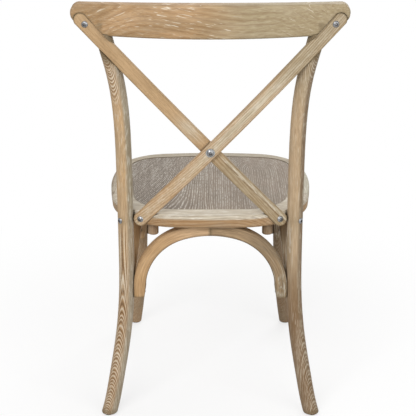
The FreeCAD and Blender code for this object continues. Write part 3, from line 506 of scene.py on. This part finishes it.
def inner_slat_patch(nodes, grain):
    spot = nodes.times(nodes.bell(grain.along, 0.066, 0.026),
                       nodes.bell(grain.across, 0.002, 0.012))
    return nodes.times(spot, 0.85), rgb(202, 186, 160), rgb(222, 210, 188)


def inner_slat_white_line(nodes, grain):
    low = nodes.remap(grain.along, -0.01, -0.05)
    return (nodes.times(low, nodes.bell(grain.across, 0.0092, 0.0024), 0.8),
            rgb(204, 194, 170), rgb(226, 220, 204))


def inner_slat_dark_line(nodes, grain):
    low = nodes.remap(grain.along, -0.01, -0.05)
    return (nodes.times(low, nodes.bell(grain.across, 0.0050, 0.0011), 0.75),
            rgb(112, 90, 62), rgb(132, 108, 78))


dress(["cross_slat_inner"], wood(
    "slat_oak_inner", grain=straight((SLAT_RUN, 0.0, SLAT_RISE), (-SLAT_RISE, 0.0, SLAT_RUN),
                                     (0.0, 0.0, CROSS_Z)),
    seed=2.3, sheet=slat_sheet, warm=rgb(197, 165, 125), cool=rgb(188, 157, 118),
    tones=(inner_slat_tone, inner_slat_patch, inner_slat_white_line, inner_slat_dark_line),
    ring_spacing=0.0058, waviness=0.004, ring_depth=0.36, line_mask=inner_slat_low, edge=0.8,
    coarse=0.10, line_lime=0.18, streaks=0.8, streak_mask=inner_slat_lines, haze=0.05))


# Rear legs: the rings are flat sheets that the bends cut into arcs
LOW_SHADE_Z = (0.44, 0.20)
HIGH_TONE_Z = (0.64, 0.76)
PALE_BAND_Z = 0.385
PALE_BAND_SPREAD = 0.05


def rear_leg_off(nodes, side):
    """How far the point lies from the leg's axis, across the chair."""
    x, y, z = nodes.split()

    def bend(start, end, throw):
        share = nodes.math("DIVIDE", nodes.less(z, start), end - start, clamp=True)
        return nodes.times(share, share, throw)
    axis = nodes.add(bend(FOOT_BEND_Z, 0.0, FOOT_SPLAY), bend(FLARE_Z, CREST_LOW_Z, FLARE),
                     REAR_LEG_X)
    return nodes.less(x, nodes.times(axis, side))


def rear_leg(side, normal, grey, foot, head, plain, **changes):
    def sheet(nodes, grain):
        x, y, z = nodes.split()
        return nodes.add(nodes.times(nodes.less(x, side * REAR_LEG_X), normal[0]),
                         nodes.times(nodes.less(y, REAR_LEG_Y), normal[1]))

    # Painted shade: the side of each leg towards -x is grey and darker, as it turns from the
    # light
    def shaded_grey_side(nodes, grain):
        start, end, colour, pale = grey
        return nodes.remap(rear_leg_off(nodes, side), start, end), colour, pale

    # Painted shade: each leg grows darker downwards below the seat, under it
    def shaded_low_end(nodes, grain):
        share, colour, pale = foot
        return nodes.times(nodes.remap(nodes.split()[2], *LOW_SHADE_Z), share), colour, pale

    def high_end(nodes, grain):
        share, colour, pale = head
        return nodes.times(nodes.remap(nodes.split()[2], *HIGH_TONE_Z), share), colour, pale

    # A pale band on the inner side of each leg near z 0.385: partly lime in the grain, partly a
    # painted highlight
    def pale_band_and_highlight(nodes, grain):
        beside = nodes.times(rear_leg_off(nodes, side), -side)
        share = nodes.times(nodes.bell(nodes.split()[2], PALE_BAND_Z, PALE_BAND_SPREAD),
                            nodes.remap(beside, 0.003, 0.011), 0.8)
        return share, rgb(172, 154, 126), rgb(222, 216, 202)

    def in_bends(nodes, grain):
        z = nodes.split()[2]
        start, end, least = plain
        return nodes.larger(nodes.remap(z, start, start - 0.07), nodes.remap(z, end, end + 0.06),
                            least)
    name = "left" if side > 0 else "right"
    dress(["rear_leg_" + name], wood(
        "rear_leg_oak_" + name, grain=straight((0, 0, 1), (side, 0, 0)), sheet=sheet,
        tones=(shaded_low_end, high_end, shaded_grey_side, pale_band_and_highlight), line_mask=in_bends, edge=0.8,
        edge_reach=0.014, waviness=0.0022, wave_length=0.16, wave_width=0.04, **changes))


# In both calls the grey side and the low end are painted shade
rear_leg(1, (0.45, 0.89), (-0.002, -0.009, rgb(156, 146, 124), rgb(206, 200, 184)),
         (0.8, rgb(170, 136, 100), rgb(182, 150, 116)),
         (0.7, rgb(184, 152, 118), rgb(196, 166, 134)), (0.45, 0.66, 0.06), seed=5.2,
         warm=rgb(206, 170, 126), cool=rgb(198, 168, 130), ring_spacing=0.0017, line_lime=1.0,
         line_hold=0.92, line_width=0.55, ring_depth=0.92, streaks=0.40)
rear_leg(-1, (-0.75, 0.66), (-0.004, -0.010, rgb(132, 112, 88), rgb(172, 160, 138)),
         (1.0, rgb(128, 102, 74), rgb(146, 122, 94)),
         (0.8, rgb(166, 150, 122), rgb(188, 176, 150)), (0.22, 0.70, 0.06), seed=6.9,
         warm=rgb(198, 172, 139), cool=rgb(187, 163, 131), ring_spacing=0.0022, line_lime=0.85,
         line_hold=0.5, line_width=0.45, ring_depth=0.60, streaks=0.30)


# Front legs: darker colours, partly painted shade from the seat above them
def front_leg_sheet(nodes, grain):
    return nodes.add(nodes.times(grain.across, 0.6), nodes.times(grain.depth, 0.8))


for side, name, seed, warm, cool in (
        (1, "left", 8.3, rgb(180, 149, 116), rgb(170, 146, 116)),
        (-1, "right", 10.0, rgb(144, 118, 90), rgb(136, 114, 88))):
    dress(["front_leg_" + name], wood(
        "front_leg_oak_" + name, grain=straight((0.02 * side, -0.12, 1), (side, 0, 0)),
        sheet=front_leg_sheet, seed=seed, warm=warm, cool=cool, dark=rgb(104, 80, 56),
        lime=rgb(188, 178, 158), ring_spacing=0.0026, waviness=0.003))


# Seat frame: pale worn tops, warm upright faces with long flat lines
def pale_top(colour, pale):
    def tone(nodes, grain):
        z = nodes.split()[2]
        return nodes.remap(z, SEAT_EDGE_LOW_Z, SEAT_EDGE_HIGH_Z), colour, pale
    return tone


def apron_sheet(nodes, grain):
    x, y, z = nodes.split()
    beyond = nodes.larger(nodes.less(-0.04, x), 0.0)
    swell = nodes.times(nodes.bell(x, 0.03, 0.07), 0.006)
    return nodes.add(z, nodes.times(grain.depth, 0.8), swell, nodes.times(beyond, beyond, 2.6))


def top_only(nodes, grain):
    return nodes.remap(nodes.split()[2], SEAT_EDGE_LOW_Z, SEAT_EDGE_HIGH_Z, 0.25, 1.0)


for name, along, seed, colour, pale, warm in (
        ("rear", (1, 0, 0), 8.3, rgb(206, 197, 178), rgb(230, 226, 214), rgb(174, 138, 97)),
        ("front", (1, 0, 0), 9.1, rgb(180, 170, 149), rgb(201, 193, 175), rgb(178, 150, 116)),
        # The left rail's warm upright colour is darker: painted shade along the lower side of
        # the seat
        ("left", (0, 1, 0), 9.4, rgb(168, 158, 140), rgb(196, 189, 172), rgb(150, 122, 92)),
        ("right", (0, 1, 0), 10.2, rgb(194, 189, 170), rgb(217, 214, 200), rgb(170, 150, 122))):
    dress(["seat_rail_" + name], wood(
        "rail_oak_" + name, grain=straight(along, (0, 0, 1)), sheet=apron_sheet, seed=seed,
        tones=(pale_top(colour, pale),), warm=warm, cool=rgb(172, 144, 110), ring_spacing=0.0066,
        waviness=0.008, ring_depth=0.42, line_lime=0.22, streaks=0.5, streak_mask=top_only,
        haze=0.08))


# Seat panel: dense white lines from front to back, fanned on one side and looped on the other
def panel_sheet(nodes, grain):
    x, y, z = nodes.split()
    front = nodes.math("MINIMUM", nodes.add(y, 0.10), 0.0)
    loops = nodes.length(nodes.add(x, 0.105), nodes.times(front, 0.55))
    fan = nodes.times(y, nodes.remap(x, 0.01, 0.15), 0.34)
    return nodes.less(loops, fan)


def panel_dark_side(nodes, grain):
    return nodes.remap(nodes.split()[0], 0.02, 0.12), rgb(108, 94, 80), rgb(122, 108, 93)


def panel_lines(nodes, grain):
    return nodes.remap(nodes.split()[0], -0.10, 0.0, 0.55, 1.0)


dress(["seat_panel"], wood(
    "panel_oak", grain=straight((0, 1, 0), (1, 0, 0)), sheet=panel_sheet, seed=11.6,
    tones=(panel_dark_side,), warm=rgb(137, 120, 102), cool=rgb(132, 117, 100),
    dark=rgb(108, 94, 80), lime=rgb(222, 216, 204), ring_spacing=0.0046, waviness=0.010,
    wave_length=0.20, wave_width=0.03, line_width=0.60, line_lime=1.0, line_hold=0.25,
    line_mask=panel_lines, ring_depth=0.25, streaks=0.20, haze=0.12))


# Arches: bent oak with painted shade along the inner edge, one half warm and one half grey-brown
# with a worn foot
ARCHES = (("rear_arch", "x", 0.1887, 0.0), ("front_arch", "x", 0.1603, 0.0),
          ("side_arch_rear", "y", 0.2205, SIDE_ARCH_MIDDLE_Y),
          ("side_arch_front", "y", 0.2205, SIDE_ARCH_MIDDLE_Y))
WORN_Z = (0.322, 0.300)
WORN_SIZE = (0.016, 0.007)
WORN_SHARE = 0.6
BREAK_SIZE = (0.030, 0.006)


def arch_sheet(nodes, grain):
    return nodes.add(grain.across, nodes.times(grain.depth, 0.7))


def arch_foot_lime(nodes, grain):
    return nodes.remap(grain.along, 0.10, 0.16, 0.15, 1.0)


# Painted light: the crown of each arch, in the shade under the seat, is made paler
def painted_light_crown(colour):
    def tone(nodes, grain):
        return nodes.remap(grain.along, 0.12, 0.03), colour, colour
    return tone


def worn_foot(nodes, grain):
    low = nodes.remap(nodes.split()[2], *WORN_Z)
    worn = nodes.remap(grain.noise(*WORN_SIZE, 2.0, 0.6, 9.0), 0.50, 0.58)
    return nodes.times(low, worn, WORN_SHARE), rgb(190, 182, 164), rgb(226, 221, 210)


def broken_lines(nodes, grain):
    return nodes.remap(grain.noise(*BREAK_SIZE, 2.0, 0.6, 10.0), 0.36, 0.62)


# Painted shade along the inner edge of each arch, where it faces down
def arch_inner_edge_shade(nodes, grain):
    colour = rgb(92, 72, 50)
    return nodes.times(nodes.bell(grain.across, -0.001, 0.0030), 0.75), colour, colour


ARCH_WOODS = (
    ("left", 0.6, (painted_light_crown(rgb(222, 188, 148)), arch_inner_edge_shade),
     {"warm": rgb(204, 168, 124), "cool": rgb(194, 158, 114), "dark": rgb(134, 100, 68),
      "lime": rgb(214, 200, 174), "ring_depth": 0.34, "streaks": 0.25}),
    ("right", 0.0, (painted_light_crown(rgb(190, 160, 124)), worn_foot, arch_inner_edge_shade),
     {"warm": rgb(162, 136, 104), "cool": rgb(148, 128, 100), "dark": rgb(98, 78, 56),
      "lime": rgb(200, 192, 174), "ring_depth": 0.60, "streaks": 0.75}))

for number, (name, run, crown_radius, middle) in enumerate(ARCHES):
    for side, seed_step, tones, changes in ARCH_WOODS:
        dress([name + "_" + side], wood(
            name + "_oak_" + side, grain=arched(run, crown_radius, middle), sheet=arch_sheet,
            seed=12.0 + number * 1.3 + seed_step, tones=tones, line_mask=broken_lines,
            coarse=0.26, fibre_depth=0.38, ring_spacing=0.0064, waviness=0.012,
            wave_length=0.07, edge=0.8, edge_reach=0.007, line_lime=0.12,
            streak_mask=arch_foot_lime, haze=0.04, **changes))


# Small pieces
dress(["stacking_pegs"], wood(
    "peg_oak", grain=straight((0, 0, 1), (1, 0, 0)), sheet=arch_sheet, seed=19.0,
    warm=rgb(156, 124, 92), cool=rgb(140, 116, 88), ring_spacing=0.003))
dress(["seat_dowels"], wood(
    "dowel_beech", grain=straight((0, 1, 0), (1, 0, 0)), sheet=arch_sheet, seed=20.0,
    warm=rgb(206, 172, 128), cool=rgb(200, 168, 126)))
dress(["slat_foot_screws", "slat_top_screws", "cross_bolt", "cross_cap_nut", "rear_leg_bolts",
       "barrel_nuts", "arch_leg_screws", "arch_seat_screws"],
      metal("dull_zinc", rgb(150, 151, 153), 0.27))
dress(["cross_washer"], metal("bright_zinc", rgb(198, 200, 200), 0.28))
dress(["foot_glides"], plastic("glide_nylon", rgb(70, 62, 54)))


# Studio: each lamp's name, place, power in watts and size, all aimed at the chair's middle
LAMPS = (("key_lamp", (1.1, 2.9, 2.6), 74.0, 2.0),
         ("fill_lamp", (-1.8, 2.4, 1.8), 34.0, 2.2),
         ("front_lamp", (-0.8, -2.6, 2.4), 44.0, 2.4))
LAMP_TARGET = (0.0, 0.05, 0.5)
FLOOR_REACH = 4.0
FLOOR_UNSEEN = (0.52, 0.51, 0.49, 1.0)
FLOOR_SEEN = ((0.96, 0.96, 0.96, 1.0), (0.98, 0.98, 0.98, 1.0))
FLOOR_ROUGHNESS = 0.9
FADE_NEAR = 0.30
FADE_FAR = 1.1
FADE_LEAST = 0.68
WORLD_LIGHT = 0.42
WHITE = (1.0, 1.0, 1.0, 1.0)


def lamp(name, place, target, power, size):
    data = bpy.data.lights.new(name, "AREA")
    data.energy = power
    data.size = size
    lamp_object = bpy.data.objects.new(name, data)
    lamp_object.location = place
    aim = Vector(target) - Vector(place)
    lamp_object.rotation_euler = aim.to_track_quat("-Z", "Y").to_euler()
    bpy.context.scene.collection.objects.link(lamp_object)


def background_rays(tree):
    """One for the rays that should meet a white background: seen, mirrored or refracted."""
    path = tree.nodes.new("ShaderNodeLightPath")
    first = tree.nodes.new("ShaderNodeMath")
    second = tree.nodes.new("ShaderNodeMath")
    for node in (first, second):
        node.operation = "MAXIMUM"
    tree.links.new(path.outputs["Is Camera Ray"], first.inputs[0])
    tree.links.new(path.outputs["Is Glossy Ray"], first.inputs[1])
    tree.links.new(first.outputs[0], second.inputs[0])
    tree.links.new(path.outputs["Is Transmission Ray"], second.inputs[1])
    return second.outputs[0]


def studio():
    """A white floor that takes the shadow and fades into a white background, and soft lamps."""
    reach = FLOOR_REACH
    mesh = bpy.data.meshes.new("floor")
    mesh.from_pydata([(-reach, -reach, 0), (reach, -reach, 0), (reach, reach, 0),
                      (-reach, reach, 0)], [], [(0, 1, 2, 3)])
    floor = bpy.data.objects.new("floor", mesh)
    bpy.context.scene.collection.objects.link(floor)
    nodes = Nodes("floor_paper")
    seen = background_rays(nodes.tree)
    mottled = nodes.noise(nodes.place, 3.0, 3.0, 0.5)
    bright = nodes.mix(mottled, *FLOOR_SEEN)
    nodes.feed(nodes.shader.inputs["Base Color"], nodes.mix(seen, FLOOR_UNSEEN, bright))
    nodes.shader.inputs["Roughness"].default_value = FLOOR_ROUGHNESS
    white = nodes.tree.nodes.new("ShaderNodeEmission")
    choose = nodes.tree.nodes.new("ShaderNodeMixShader")
    x, y, z = nodes.split()
    far = nodes.remap(nodes.length(x, y), FADE_NEAR, FADE_FAR, FADE_LEAST, 1.0)
    nodes.feed(choose.inputs[0], nodes.times(seen, far))
    nodes.feed(choose.inputs[1], nodes.shader.outputs[0])
    nodes.feed(choose.inputs[2], white.outputs[0])
    nodes.feed(nodes.output.inputs[0], choose.outputs[0])
    mesh.materials.append(nodes.material)

    for name, place, power, size in LAMPS:
        lamp(name, place, LAMP_TARGET, power, size)

    world = bpy.data.worlds.new("studio_white")
    bpy.context.scene.world = world
    world.use_nodes = True
    tree = world.node_tree
    tree.nodes.clear()
    output = tree.nodes.new("ShaderNodeOutputWorld")
    shown = tree.nodes.new("ShaderNodeBackground")
    shown.inputs["Strength"].default_value = 1.0
    lighting = tree.nodes.new("ShaderNodeBackground")
    lighting.inputs["Strength"].default_value = WORLD_LIGHT
    for background in (shown, lighting):
        background.inputs["Color"].default_value = WHITE
    choose = tree.nodes.new("ShaderNodeMixShader")
    tree.links.new(background_rays(tree), choose.inputs[0])
    tree.links.new(lighting.outputs[0], choose.inputs[1])
    tree.links.new(shown.outputs[0], choose.inputs[2])
    tree.links.new(choose.outputs[0], output.inputs[0])


def camera():
    data = bpy.data.cameras.new("photo_camera")
    data.lens = CAMERA_LENS_MM
    data.sensor_width = SENSOR_MM
    data.shift_x = SHIFT_X
    data.shift_y = SHIFT_Y
    viewer = bpy.data.objects.new("photo_camera", data)
    viewer.location = (0.0, CAMERA_Y, CAMERA_Z)
    viewer.rotation_euler = (math.radians(90 - CAMERA_PITCH_DEG), 0.0, math.radians(180))
    bpy.context.scene.collection.objects.link(viewer)
    bpy.context.scene.camera = viewer


studio()
camera()
bpy.context.scene.view_settings.view_transform = "Standard"
